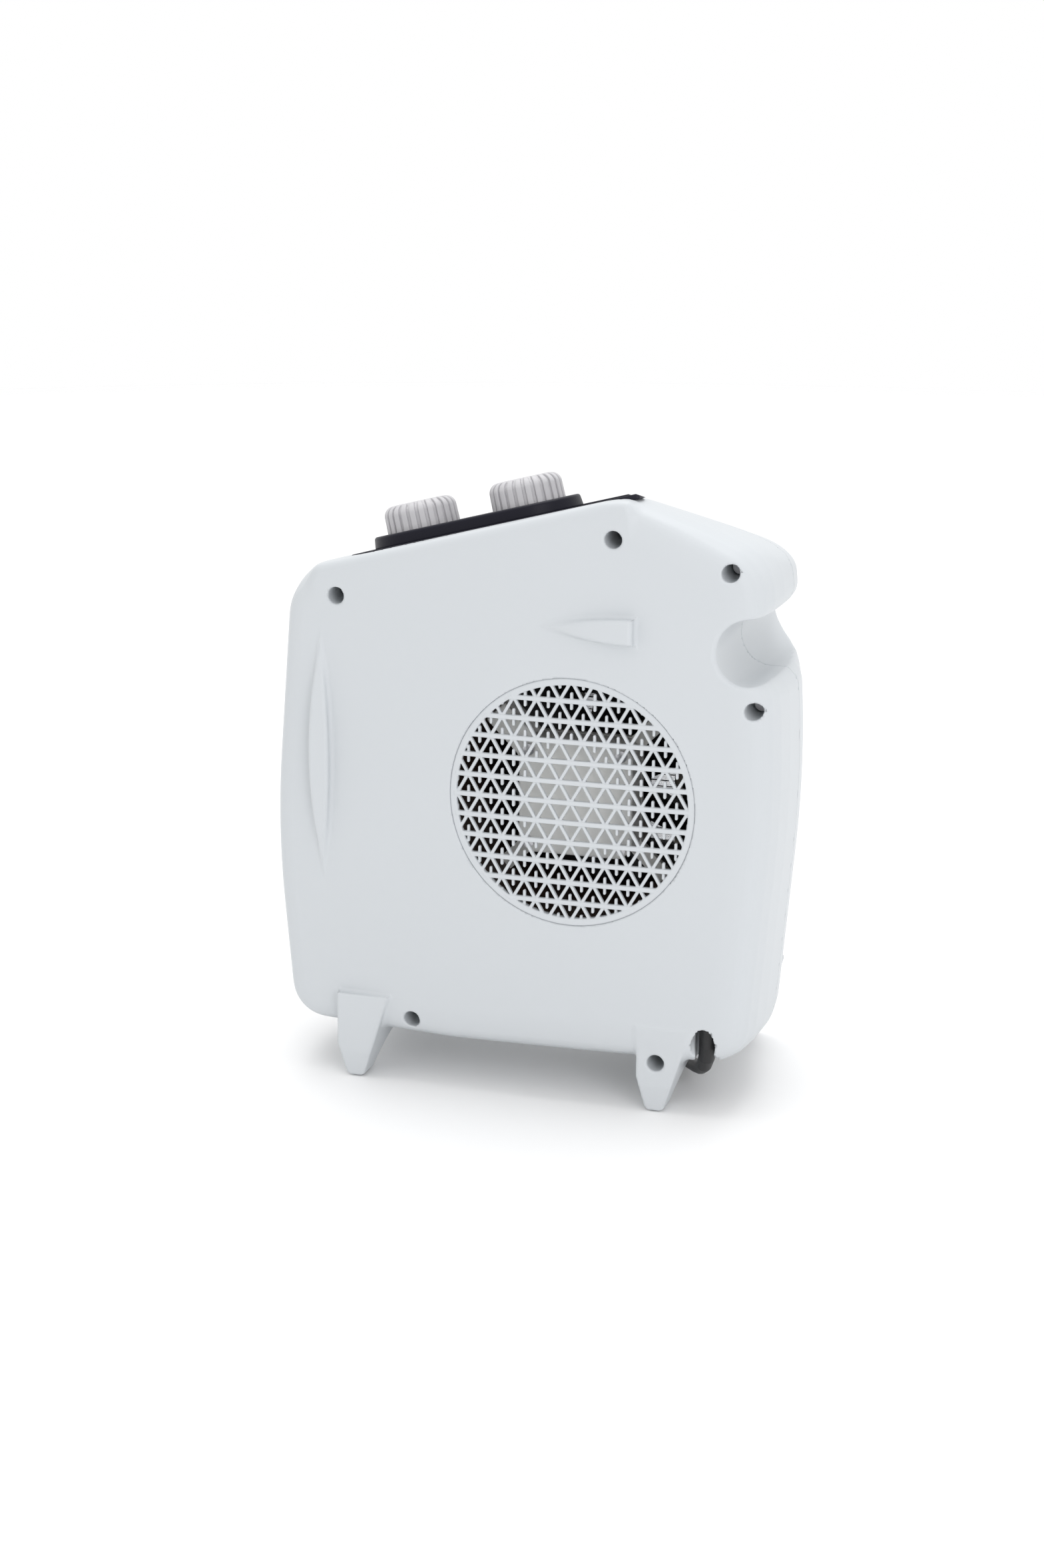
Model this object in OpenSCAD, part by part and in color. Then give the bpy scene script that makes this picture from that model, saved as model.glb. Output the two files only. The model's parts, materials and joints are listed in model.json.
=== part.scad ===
// Ceramic fan heater, free standing, with two rotary controls on a sloping top,
// a finger grip through one side and a round air intake in the back.
// Frame: +Z up, the back faces +Y, the warm air leaves towards -Y, the grip side is -X.
// Back-view drawings use u to the right (u = -X) and z up. Depths d run from the back.

/* [Overall] */
// width over the widest part of the case
body_w = 237; // [222:1:290]
// height of the ridge of the case above the floor
body_h = 275; // [262:1:335]
// depth of the case from back to front
body_d = 120; // [114:1:150]
// height of the flat underside above the floor
leg_h = 18; // [15:1:24]
// wall thickness of the case
wall = 2.5; // [2:0.1:3.2]
// depth of the seam between the two shells
seam_d = 50; // [46:1:56]

/* [Air path] */
// distance from the grip side to the fan axis
fan_from_side = 91; // [84:1:96]
// height of the fan axis above the floor
fan_h = 139; // [128:1:150]
// radius of the open part of the intake grille
intake_r = 52.5; // [48:0.5:63]
// spacing of the bars of the intake lattice
lattice_pitch = 10.5; // [8:0.5:14]
// width of the level lattice bars
bar_w = 2.1; // [1.4:0.1:2.8]
// width of the slanted lattice bars
slant_w = 1.4; // [1:0.1:2]
// thickness of the lattice at its edge
lattice_t = 2.4; // [1.6:0.1:3.4]
// width of the rim round each grille
rim_w = 3.1; // [2.4:0.1:4]
// number of fan blades
blades = 7; // [5:1:9]
// radial gap between the blade tips and the duct
tip_gap = 2; // [1.5:0.1:3]
// side of the square heating element
ptc_side = 68; // [54:2:70]
// depth of the heating element
ptc_t = 14; // [10:1:20]
// side of the square motor cover
cover_w = 52; // [44:1:56]

/* [Controls] */
// diameter of each knob at its foot
knob_d = 33; // [28:1:40]
// height of each knob
knob_h = 13; // [10:0.5:16]
// distance between the two knobs
knob_gap = 51; // [46:1:62]
// number of flutes round a knob
flutes = 24; // [16:1:32]
// height of the oval plate above the top edge
plate_h = 5.5; // [4:0.5:7]
// shaft diameter of both controls
shaft_d = 6; // [5:0.5:7.2]

/* [Grip and holes] */
// radius of the round end of the finger grip
grip_r = 14.5; // [12:0.5:16]
// height of the middle of the finger grip below the ridge
grip_drop = 65; // [62:1:72]
// diameter of the deep screw recesses
recess_d = 7.6; // [6.5:0.1:9]
// diameter of the mains cord
cord_d = 6.2; // [5.5:0.1:7]

/* [Hidden] */
$fn = 48;
eps = 0.05;
big = 800;
fit = 0.05;                      // radial clearance of a running fit
hw = body_w/2;
ledge_out = 5;                   // how far the finger ledge stands out of the back
back_y = body_d/2 - ledge_out/2;
front_y = back_y - body_d;
seam_y = back_y - seam_d;
fan_u = hw - fan_from_side;
rim_r = intake_r + rim_w;
crown_r = 1100;                  // gentle curve of the back
tilt_side = 14.7;                // the top falls away from the ridge towards +X
tilt_front = 4.8;                // and a little towards the front
ridge_u = hw - 63.5;             // where the sloping top meets the grip side
panel_at = [84 - ridge_u, back_y - 45, body_h - 25.2];
shoulder_at = [-ridge_u, back_y - 4, body_h + 0.5];
shoulder_front = 13.6;           // the shoulder falls away from the ridge to the front
shoulder_side = 14;              // and towards the grip side
panel_t = 2;                     // depth of the recess for the ribbed panel
deck_t = panel_t + wall;         // thickness of the case under the panel
boss_r = recess_d/2 + 2.2;
screw_r = 1.9;

white = [0.83, 0.85, 0.86];
knob_grey = [0.78, 0.78, 0.77];
black = [0.07, 0.07, 0.09];
cream = [0.88, 0.86, 0.80];
metal = [0.72, 0.73, 0.75];
brass = [0.80, 0.62, 0.30];

// ---- outline of the case ----------------------------------------------------

function unit(v) = v/norm(v);
function smooth(t) = let(c = min(1, max(0, t))) c*c*(3 - 2*c);

// corners of the case as [u, z, radius], counter-clockwise from the lower left
corners = [
    [-hw + 7, leg_h + 2, 20],
    [-30, leg_h - 0.5, 160],
    [hw - 10, leg_h + 2, 22],
    [hw + 1.2, 150, 500],
    [hw - 6.5, body_h - 25, 26],
    [ridge_u, body_h + 1.5, 14],
    [-hw + 8.5, body_h - 43, 28],
    [-hw - 1.2, 112, 420]];

// share of a layer's inset used where the outline faces the angle a: the edge
// along the control panel stays crisp and the other edges are well rounded
function share(a) = 0.15 + 0.85*smooth(abs(a - 90 - tilt_side)/30);

// points of one rounded corner, moved in by an inset and a skin thickness
function corner_arc(i, inset, skin) =
    let(n = len(corners),
        c = corners[i],
        q = corners[(i + n - 1) % n],
        s = corners[(i + 1) % n],
        p = [c[0], c[1]],
        v1 = unit([q[0], q[1]] - p),
        v2 = unit([s[0], s[1]] - p),
        half = acos(v1*v2)/2,
        mid = p + unit(v1 + v2)*c[2]/sin(half),
        from = atan2(v1[0], -v1[1]),
        sweep = 180 - 2*half,
        steps = ceil(sweep/8) + 1)
    [for (k = [0:steps])
        let(a = from + sweep*k/steps,
            facing = (a % 360 + 360) % 360,
            r = max(0.3, c[2] - inset*share(facing) - skin))
        mid + r*[cos(a), sin(a)]];

function outline(inset, skin) =
    [for (i = [0:len(corners) - 1]) each corner_arc(i, inset, skin)];

// layers of the case as [depth, inset]
back_layers = [[0, 14], [1.6, 10], [4.5, 6.5], [10, 3.6], [19, 1.6], [32, 0.5],
    [seam_d + 1, 0]];
front_layers = [[seam_d - 1, 0], [seam_d + 14, 1.5], [seam_d + 30, 6],
    [body_d - 25, 11], [body_d - 12, 16], [body_d - 4, 21], [body_d, 27]];
back_inner = [for (l = back_layers) [min(l[0] + wall, seam_d + 1), l[1]]];
front_inner = [for (l = front_layers) [max(l[0] - wall, seam_d - 1), l[1]]];

// thickens a back-view drawing between two depths
module back_view(d0, d1) {
    translate([0, back_y - d1, 0])
        rotate([90, 0, 180])
            linear_extrude(d1 - d0)
                children();
}

// puts children in the frame of the sloping top, +Z square to it
module on_top() {
    translate(panel_at)
        rotate([tilt_front, tilt_side, 0])
            children();
}

// everything below the shoulder, a plane that falls from the ridge to the front
module below_shoulder(skin) {
    translate(shoulder_at)
        rotate([shoulder_front, -shoulder_side, 0])
            translate([0, 0, -big/2 - skin])
                cube([big, big, big], center = true);
}

module half_case(layers, skin, d0, d1) {
    intersection() {
        hull()
            for (l = layers)
                back_view(max(0, l[0] - eps), min(body_d, l[0] + eps))
                    polygon(outline(l[1], skin));
        back_view(d0, d1)
            square(2*big, center = true);
        on_top()
            translate([0, 0, -big/2 - (skin > 0 ? deck_t : 0)])
                cube([big, big, big], center = true);
        below_shoulder(skin);
    }
}

module crown(t) {
    translate([-fan_u, back_y - crown_r, -10])
        cylinder(r = crown_r - t, h = body_h + 60, $fn = 3600);
}

module back_solid() {
    intersection() {
        half_case(back_layers, 0, 0, seam_d);
        crown(0);
    }
}

module front_solid() {
    half_case(front_layers, 0, seam_d, body_d);
}

// ---- features shared by the two shells --------------------------------------

screw_spots = [
    [-hw + 36, body_h - 52],
    [ridge_u - 9.5, body_h - 19],
    [hw - 22.5, body_h - 31],
    [hw - 11.5, body_h - 90],
    [-hw + 71, leg_h + 12],
    [hw - 51, leg_h + 5]];
leg_spots = [-hw + 48, hw - 47.5];
front_leg_spots = [-hw + 36, hw - 31];
recess_floor = 24;               // depth of the floor of a screw recess
grip_lip = 8;
grip_at = [hw - 13.5, body_h - grip_drop];

// a quarter round from [0, 0] outwards, dir is +1 for a lip above, -1 below
function lip(at, r, dir) =
    [for (a = [0:15:90]) at + [r*sin(a), dir*r*(1 - cos(a))]];

module grip_2d() {
    translate(grip_at)
        circle(r = grip_r);
    polygon(concat(
        [grip_at + [0, grip_r]],
        lip(grip_at + [6, grip_r + 0.6], grip_lip, 1),
        [grip_at + [30, grip_r + grip_lip]],
        [grip_at + [30, -grip_r - grip_lip]],
        [for (p = [6:-1:0])
            grip_at + [6 + grip_lip*sin(15*p), -grip_r - grip_lip*(1 - cos(15*p))]],
        [grip_at + [0, -grip_r]]));
}

module grip_wall_2d() {
    translate(grip_at)
        circle(r = grip_r + wall);
    translate(grip_at + [0, -grip_r - wall])
        square([30, 2*grip_r + 2*wall]);
    translate(grip_at + [6, -grip_r - grip_lip - wall])
        square([30, 2*grip_r + 2*grip_lip + 2*wall]);
}

module at_spots(spots) {
    for (p = spots)
        translate(p)
            children();
}

// back view of one leg, its left edge upright and its right edge drafted
module leg_2d(h) {
    polygon([[-12.5, h], [-12.5, 16], [-8.5, 1.5], [-7, 0], [-1.5, 0], [0, 1],
        [5, 16], [12.5, h]]);
}

// side view of a leg: upright outside, sweeping up to the underside on the inside
function sweep_up(t) = (leg_h + 1)*(1 - exp(-t/9));
module leg_side_2d(reach) {
    polygon(concat([[1.2, leg_h + 22], [1.2, 12], [2.4, 0]],
        [for (t = [0:3:reach - 15]) [15 + t, sweep_up(t)]],
        [[reach, leg_h + 1], [reach, leg_h + 22]]));
}

// legs along one edge of the case; they sweep from the outer face to the seam
module legs(spots, reach) {
    intersection() {
        rotate([90, 0, 180])
            translate([0, 0, -reach])
                linear_extrude(reach)
                    at_spots([for (u = spots) [u, 0]])
                        leg_2d(leg_h + 22);
        rotate([90, 0, 90])
            translate([0, 0, -big/2])
                linear_extrude(big)
                    mirror([1, 0])
                        leg_side_2d(reach);
    }
}

// ---- cord -------------------------------------------------------------------

cord_r = cord_d/2;
gland_at = [-hw + 29, back_y - 10.2, 42];
hole_tilt = 30;                  // the round hole in the back looks upwards and inwards
slot_w = 10.4;                   // the cord comes down and forwards through a slot
slot_run = 12;                   // and the slot runs this far in front of the gland
gland_r = 5.4;
gland_len = 14;
clamp_x = 13.5 - wall;           // half width of the cord clamp, clear of the case's walls
clamp_y = 7.5 - wall;            // half depth of the cord clamp

// middle line of the cord from the clamp to the coil
coil_at = [50, -165, 0];
coil_r = 34;
coil_gap = cord_d + 0.05;
coil_z = 3.5;                    // height of the middle of the lower turns
cord_points = [[-89.5, 47.3, 57], [-89.5, 47.3, 48], [-89.5, 47.3, 39], [-89, 46.2, 31.1],
    [-87.7, 43, 23.9], [-85.5, 38.1, 18.3], [-82.6, 31.8, 14.4], [-79.3, 24.8, 11.8],
    [-75.5, 16.8, 9.5], [-71, 7.5, 7.1], [-66, -2.5, 5.2], [-59.8, -13, 4], [-53, -24, 3.5],
    [-45.5, -35.5, 3.5], [-37, -47, 3.5], [-27.5, -58.5, 3.5], [-18, -70.5, 3.5],
    [-9, -84, 3.5], [-1, -101, 3.5], [4.5, -120, 3.5], [8, -140, 3.5], [9.3, -153, 3.5],
    [9.75, -165, 3.5]];
tail_points = [[90.2, -168, 9.75], [90, -162, 9.8], [89.5, -155.5, 10.3], [88.5, -149, 11.1],
    [87.2, -143, 12], [86.1, -137.8, 12.85], [85.3, -133.5, 13.35], [85, -130.5, 13.5],
    [85, -128, 13.5]];

function lead(p, i) = unit(p[min(i + 1, len(p) - 1)] - p[max(i - 1, 0)]);

// sweeps a round section along a list of points
module swept(p, r, n) {
    up = [0.9, 0.1, 0.42];
    rings = [for (i = [0:len(p) - 1])
        let(t = lead(p, i), a = unit(cross(up, t)), b = cross(t, a))
        for (k = [0:n - 1]) p[i] + r*(cos(360*k/n)*a + sin(360*k/n)*b)];
    last = (len(p) - 1)*n;
    polyhedron(rings, concat(
        [[for (k = [0:n - 1]) k]],
        [for (i = [0:len(p) - 2]) for (k = [0:n - 1])
            [i*n + k, (i + 1)*n + (k + 1) % n, i*n + (k + 1) % n]],
        [for (i = [0:len(p) - 2]) for (k = [0:n - 1])
            [i*n + k, (i + 1)*n + k, (i + 1)*n + (k + 1) % n]],
        [[for (k = [0:n - 1]) last + n - 1 - k]]));
}

module in_gland() {
    translate(gland_at)
        children();
}

module cord_cut() {
    in_gland() {
        translate([0, 0, -14])
            cylinder(r = gland_r, h = 40);
        translate([1, 1.2, 0])
            rotate([hole_tilt, 0, 0])
                translate([0, 0, -16])
                    cylinder(r = gland_r, h = 22);
    }
    translate([gland_at[0], gland_at[1], leg_h - 4])
        hull() {
            translate([0.6, 1, 0])
                cylinder(r = slot_w/2, h = 22);
            translate([3, -slot_run, 0])
                cylinder(r = slot_w/2, h = 22);
        }
}

// ---- shells -----------------------------------------------------------------

module lens_2d(length, width) {
    r = (length*length + width*width)/(4*width);
    intersection() {
        translate([r - width/2, 0])
            circle(r = r, $fn = 240);
        translate([-r + width/2, 0])
            circle(r = r, $fn = 240);
    }
}

// upright wall spacer near the +X edge: a lens with a bowed crest
module wall_spacer() {
    length = 108;
    out = 5;
    bow = (length*length/4 + out*out)/(2*out);
    at = [-hw + 28, fan_h + 11];
    intersection() {
        back_view(0.6, 12)
            translate(at)
                lens_2d(length, 9.5);
        translate([0, back_y - 1.4 - bow, at[1]])
            rotate([0, 90, 0])
                cylinder(r = bow, h = big, center = true, $fn = 360);
    }
}

// finger ledge over the intake: half a lens, blunt towards the grip
module finger_ledge() {
    length = 84;
    bow = (length*length/4 + ledge_out*ledge_out)/(2*ledge_out);
    at = [fan_u + 28, fan_h + 78];
    intersection() {
        back_view(-ledge_out, 4)
            translate(at)
                intersection() {
                    rotate(90)
                        lens_2d(length, 11.5);
                    translate([-length, -20])
                        square([length, 40]);
                }
        translate([-at[0], back_y + ledge_out - bow, 0])
            cylinder(r = bow, h = big, $fn = 360);
    }
}

module panel_2d(gap) {
    translate([-80 - gap, -46 - gap])
        square([40, 80 + 2*gap]);
    hull() {
        translate([-60, -46 - gap])
            square([20, 80 + 2*gap]);
        translate([38, -30])
            circle(r = 16 + gap);
        translate([38, 18])
            circle(r = 16 + gap);
    }
}

module panel_pocket() {
    on_top() {
        translate([0, 0, -panel_t])
            linear_extrude(20)
                panel_2d(0);
        for (s = [-1, 1])
            translate([s*knob_gap/2, 0, -20])
                cylinder(r = shaft_d/2 + 3, h = 20);
    }
}

module rear_shell() {
    color(white)
        difference() {
            union() {
                difference() {
                    back_solid();
                    difference() {
                        intersection() {
                            half_case(back_inner, wall, wall, seam_d + 0.5);
                            crown(wall);
                        }
                        back_view(-1, seam_d + 1)
                            grip_wall_2d();
                        back_view(-1, seam_d + 1)
                            at_spots(screw_spots)
                                circle(r = boss_r);
                        back_view(-1, 14)
                            translate([fan_u, fan_h])
                                circle(r = rim_r + 2.4);
                        in_gland()
                            translate([0, 0, -12])
                                cylinder(r = gland_r + 2.4, h = gland_len + 9);
                    }
                }
                wall_spacer();
                finger_ledge();
                translate([0, back_y, 0])
                    legs(leg_spots, seam_d);
            }
            back_view(-2, seam_d + 1)
                grip_2d();
            back_view(-2, recess_floor)
                at_spots(screw_spots)
                    circle(r = recess_d/2);
            back_view(-2, seam_d + 1)
                at_spots(screw_spots)
                    circle(r = screw_r);
            back_view(-2, seam_d)
                translate([fan_u, fan_h])
                    circle(r = rim_r);
            cord_cut();
            panel_pocket();
        }
}

tilt_at = [hw - 46, seam_y - 24, leg_h + 12];
terminal_at = [-hw + 62, seam_y - 32, leg_h + 12];

// pads on the floor of the case under the tilt switch and the terminal block
module floor_pads() {
    translate([tilt_at[0] - 16, tilt_at[1] - 11, 0])
        cube([32, 22, tilt_at[2]]);
    translate([terminal_at[0] - 2, terminal_at[1] - 2, 0])
        cube([34, 18, terminal_at[2]]);
}

module front_shell() {
    color(white)
        difference() {
            union() {
                difference() {
                    front_solid();
                    difference() {
                        half_case(front_inner, wall, seam_d - 0.5, body_d - wall);
                        back_view(seam_d - 1, body_d)
                            grip_wall_2d();
                        back_view(seam_d - 1, seam_d + 28)
                            at_spots(screw_spots)
                                circle(r = boss_r);
                        back_view(body_d - 12, body_d)
                            translate([fan_u, fan_h])
                                circle(r = rim_r + 2.4);
                        floor_pads();
                    }
                }
                intersection() {
                    translate([0, front_y, 0])
                        mirror([0, 1, 0])
                            legs(front_leg_spots, body_d - seam_d);
                    back_view(seam_d, body_d)
                        square([2*big, 2*(leg_h + 8)], center = true);
                }
            }
            back_view(seam_d - 1, body_d + 1)
                grip_2d();
            back_view(seam_d - 1, seam_d + 24)
                at_spots(screw_spots)
                    circle(r = screw_r - 0.4);
            back_view(seam_d, body_d + 1)
                translate([fan_u, fan_h])
                    circle(r = rim_r);
            panel_pocket();
        }
}

// ---- grilles ----------------------------------------------------------------

row_h = lattice_pitch*sqrt(3)/2;
stub_w = 1.3;                    // short stub that stands on a level bar
stub_h = 2.9;
calm_r = 24;                     // no stubs within this radius
intake_d = 1.4;                  // depth of the face of the intake grille

// outline of one opening between the bars: a triangle that points up or down,
// with a stub on its base
function opening(x, y, up, stub) =
    let(base = bar_w/2,
        half = (row_h - base - slant_w)/sqrt(3),
        left = [[-half, base]],
        post = [[-stub_w/2, base], [-stub_w/2, base + stub_h],
            [stub_w/2, base + stub_h], [stub_w/2, base]],
        right = [[half, base], [0, base + half*sqrt(3)]])
    [for (q = concat(left, stub ? post : [], right)) [x + q[0], y + up*q[1]]];

function reach(q) = max([for (v = q) norm(v)]);
function nearest(q) = min([for (v = q) norm(v)]);

module lattice_openings() {
    rows = ceil(intake_r/row_h);
    cols = ceil(intake_r/lattice_pitch);
    openings = [for (r = [-rows:rows]) for (c = [-cols - 1:cols]) for (up = [1, -1])
        let(x = (c + (abs(r) % 2)/2 + 0.5)*lattice_pitch,
            y = r*row_h)
        opening(x, y, up, norm([x, y + 4*up]) > calm_r)];
    for (q = openings)
        if (reach(q) < intake_r)
            polygon(q);
    intersection() {
        circle(r = intake_r, $fn = 96);
        for (q = openings)
            if (reach(q) >= intake_r && nearest(q) < intake_r - 1)
                polygon(q);
    }
}

module intake_grille() {
    color(white)
        back_view(intake_d, intake_d + lattice_t)
            translate([fan_u, fan_h])
                difference() {
                    circle(r = rim_r, $fn = 96);
                    lattice_openings();
                }
}

module outlet_grille() {
    color(black)
        back_view(body_d - 4, body_d - 0.5)
            translate([fan_u, fan_h]) {
                difference() {
                    circle(r = rim_r, $fn = 96);
                    circle(r = intake_r, $fn = 96);
                }
                intersection() {
                    circle(r = intake_r + 1, $fn = 96);
                    union() {
                        for (y = [-7:7])
                            translate([-big/2, 7*y - 1])
                                square([big, 2]);
                        for (x = [-1:1])
                            translate([26*x - 1.2, -big/2])
                                square([2.4, big]);
                    }
                }
            }
}

// ---- controls ---------------------------------------------------------------

rib_pitch = 3.2;
module top_panel() {
    color(black)
        intersection() {
            on_top()
                difference() {
                    translate([0, 0, -panel_t])
                        linear_extrude(panel_t - plate_sunk)
                            panel_2d(-0.15);
                    for (y = [-12:9])
                        translate([-70, rib_pitch*y, -1.1])
                            cube([112, 1.2, 4]);
                    for (s = knob_sides)
                        translate([s*knob_gap/2, 0, -panel_t - 1])
                            cylinder(r = bush_r, h = 4);
                }
            below_shoulder(0);
        }
}

knob_sides = [1, -1];
bush_r = shaft_d/2 + 1.6;        // threaded bush of each control
nut_t = 2.4;
plate_w = knob_d + 14;
plate_sunk = 0.4;                // the plate stands on the ribbed panel
recess_z = plate_h - 1.2;        // floor of the round recess under a knob
knob_z = recess_z + 0.4;
hub_z = knob_z + 5;              // underside of the knob's hub
flute_w = 1;                     // width and depth of the grooves round a knob
flute_deep = 1.3;
shaft_deep = 8;                  // how far a shaft reaches below the deck

module control_plate() {
    color(black)
        on_top()
            difference() {
                hull()
                    for (s = knob_sides)
                        translate([s*knob_gap/2, 0, -plate_sunk])
                            cylinder(r1 = plate_w/2, r2 = plate_w/2 - 0.8,
                                h = plate_h + plate_sunk);
                for (s = knob_sides)
                    translate([s*knob_gap/2, 0, 0]) {
                        translate([0, 0, recess_z])
                            cylinder(r = knob_d/2 + 1.5, h = 4);
                        translate([0, 0, -1])
                            cylinder(r = bush_r, h = 10);
                    }
            }
}

module knob(s) {
    on_top()
        translate([s*knob_gap/2, 0, knob_z])
            difference() {
                rotate_extrude($fn = 96)
                    polygon(concat([[0, 0], [knob_d/2, 0]],
                        [for (a = [0:15:90])
                            [knob_d/2 - 4 + 3.2*cos(a), knob_h - 3.2 + 3.2*sin(a)]],
                        [[0, knob_h]]));
                for (k = [0:flutes - 1])
                    rotate([0, 0, 360*k/flutes])
                        translate([knob_d/2 - flute_deep, -flute_w/2, -1])
                            cube([2*flute_deep, flute_w, knob_h - 1.2]);
                translate([0, 0, -1])
                    cylinder(r = bush_r + 3.4, h = hub_z - knob_z + 1);
                cylinder(r = shaft_d/2, h = knob_h - 2.5);
            }
}

module control_shaft(s) {
    on_top()
        translate([s*knob_gap/2, 0, -deck_t - shaft_deep])
            cylinder(r = shaft_d/2, h = deck_t + shaft_deep + knob_z + knob_h - 2.5);
}

// threaded bush, shared by both controls, with a bore for the shaft
module bush_bore(s) {
    translate([s*knob_gap/2, 0, -deck_t - shaft_deep])
        cylinder(r = shaft_d/2 + fit, h = shaft_deep + 2*deck_t + plate_h + nut_t);
}

module bush(s) {
    translate([s*knob_gap/2, 0, -deck_t - 1])
        cylinder(r = bush_r, h = deck_t + 1 + recess_z + nut_t + 0.2);
}

module control_nut(s) {
    on_top()
        translate([s*knob_gap/2, 0, recess_z])
            difference() {
                cylinder(r = bush_r + 2.4, h = nut_t, $fn = 6);
                translate([0, 0, -1])
                    cylinder(r = bush_r, h = nut_t + 2);
            }
}

module thermostat_knob() {
    color(knob_grey)
        knob(knob_sides[0]);
}

module selector_knob() {
    color(knob_grey)
        knob(knob_sides[1]);
}

module thermostat_shaft() {
    color(metal)
        control_shaft(knob_sides[0]);
}

module selector_shaft() {
    color(metal)
        control_shaft(knob_sides[1]);
}

module thermostat_nut() {
    color(metal)
        control_nut(knob_sides[0]);
}

module selector_nut() {
    color(metal)
        control_nut(knob_sides[1]);
}

// bimetal thermostat: ceramic block, steel cup and two tabs
module thermostat_body() {
    color(cream)
        on_top()
            difference() {
                union() {
                    bush(knob_sides[0]);
                    translate([knob_gap/2 - 13, -13, -deck_t - 12])
                        cube([26, 26, 12]);
                    translate([knob_gap/2, 0, -deck_t - 18])
                        cylinder(r = 9, h = 6);
                    for (y = [-9, 7])
                        translate([knob_gap/2 - 3, y, -deck_t - 26])
                            cube([6, 0.8, 15]);
                }
                bush_bore(knob_sides[0]);
            }
}

// rotary switch: round body with four tabs
module selector_body() {
    color(black)
        on_top()
            difference() {
                union() {
                    bush(knob_sides[1]);
                    translate([-knob_gap/2, 0, -deck_t - 16])
                        cylinder(r = 14, h = 16);
                    for (a = [45:90:315])
                        translate([-knob_gap/2, 0, -deck_t - 24])
                            rotate([0, 0, a])
                                translate([8, -2.4, 0])
                                    cube([0.8, 4.8, 9]);
                }
                bush_bore(knob_sides[1]);
            }
}

// ---- fan, motor and heating element -----------------------------------------

duct_d = intake_d + lattice_t;        // depth where the duct meets the intake grille
cover_d = 8;                     // depth of the back of the motor cover
cover_cut = 5;                   // the cover's corners are cut off by this much
bracket_d = 24;
motor_r = 17;
motor_shaft_r = 1.6;
fan_d = 45;                      // depth of the back of the fan
fan_t = 14;
hub_r = 14;
ptc_d = 68;                      // depth of the back of the heating element

module at_fan(d0, d1) {
    back_view(d0, d1)
        translate([fan_u, fan_h])
            children();
}

module ring_2d(outer, inner) {
    difference() {
        circle(r = outer, $fn = 96);
        circle(r = inner, $fn = 96);
    }
}

module air_duct() {
    color([0.23, 0.17, 0.13])
        at_fan(duct_d, body_d - 4)
            ring_2d(rim_r, intake_r);
}

// a square with its four corners cut off
module cut_square_2d(side, cut) {
    intersection() {
        square(side, center = true);
        rotate(45)
            square((side - cut)*sqrt(2), center = true);
    }
}

module cover_screw_spots() {
    for (x = [-1, 1])
        for (y = [-1, 1])
            translate([x*(cover_w/2 - 5), y*(cover_w/2 - 5)])
                children();
}

module motor_cover() {
    color(white)
        difference() {
            union() {
                difference() {
                    at_fan(cover_d, bracket_d)
                        cut_square_2d(cover_w, cover_cut);
                    at_fan(cover_d + 2, bracket_d + 1)
                        cut_square_2d(cover_w - 4, cover_cut - 1);
                }
                at_fan(cover_d + 1, bracket_d)
                    cover_screw_spots()
                        circle(r = 3.4);
                at_fan(cover_d, cover_d + 2)
                    intersection() {
                        circle(r = intake_r, $fn = 96);
                        rotate(135)
                            translate([cover_w/2 - 4, -6])
                                square([intake_r, 12]);
                    }
            }
            at_fan(cover_d - 1, bracket_d + 1)
                cover_screw_spots()
                    circle(r = 1.5);
        }
}

// spider that carries the motor: a ring and four diagonal arms to the duct
module motor_bracket() {
    color(white)
        difference() {
            at_fan(bracket_d, bracket_d + 3)
                difference() {
                    union() {
                        circle(r = motor_r + 4);
                        intersection() {
                            circle(r = intake_r, $fn = 96);
                            for (a = [45, 135])
                                rotate(a)
                                    square([2*intake_r + 4, 7], center = true);
                        }
                        cut_square_2d(cover_w, cover_cut);
                    }
                    circle(r = motor_r);
                }
            at_fan(bracket_d - 1, bracket_d + 4)
                cover_screw_spots()
                    circle(r = 1.2);
        }
}

module bracket_screws() {
    color(metal) {
        at_fan(cover_d - 1.4, cover_d)
            cover_screw_spots()
                circle(r = 2.6);
        at_fan(cover_d - 0.1, bracket_d + 2.5)
            cover_screw_spots()
                circle(r = 1.2);
    }
}

module motor_body() {
    color(metal)
        difference() {
            union() {
                at_fan(cover_d + 4, cover_d + 30)
                    circle(r = motor_r);
                at_fan(cover_d + 30, cover_d + 33)
                    circle(r = 5);
            }
            at_fan(cover_d + 20, cover_d + 34)
                circle(r = motor_shaft_r + fit);
        }
}

module motor_shaft() {
    color(metal)
        at_fan(cover_d + 21, fan_d + fan_t - 1)
            circle(r = motor_shaft_r);
}

module fan_impeller() {
    tip_r = intake_r - tip_gap;
    color([0.10, 0.10, 0.11])
        difference() {
            union() {
                at_fan(fan_d, fan_d + fan_t)
                    circle(r = hub_r);
                intersection() {
                    at_fan(fan_d, fan_d + fan_t)
                        ring_2d(tip_r, hub_r - 1);
                    translate([-fan_u, back_y - fan_d - fan_t/2, fan_h])
                        for (k = [0:blades - 1])
                            rotate([0, 360*k/blades, 0])
                                translate([tip_r/2, 0, 0])
                                    rotate([38, 0, 0])
                                        cube([tip_r + 4, 1.6, 40], center = true);
                }
            }
            at_fan(fan_d - 1, fan_d + fan_t - 1)
                circle(r = motor_shaft_r);
        }
}

module ptc_frame() {
    color(black)
        difference() {
            union() {
                at_fan(ptc_d - 2, ptc_d)
                    circle(r = intake_r - fit, $fn = 96);
                at_fan(ptc_d - 1, ptc_d + ptc_t)
                    square(ptc_side + 4, center = true);
            }
            at_fan(ptc_d - 3, ptc_d + ptc_t + 1)
                square(ptc_side, center = true);
        }
}

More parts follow.
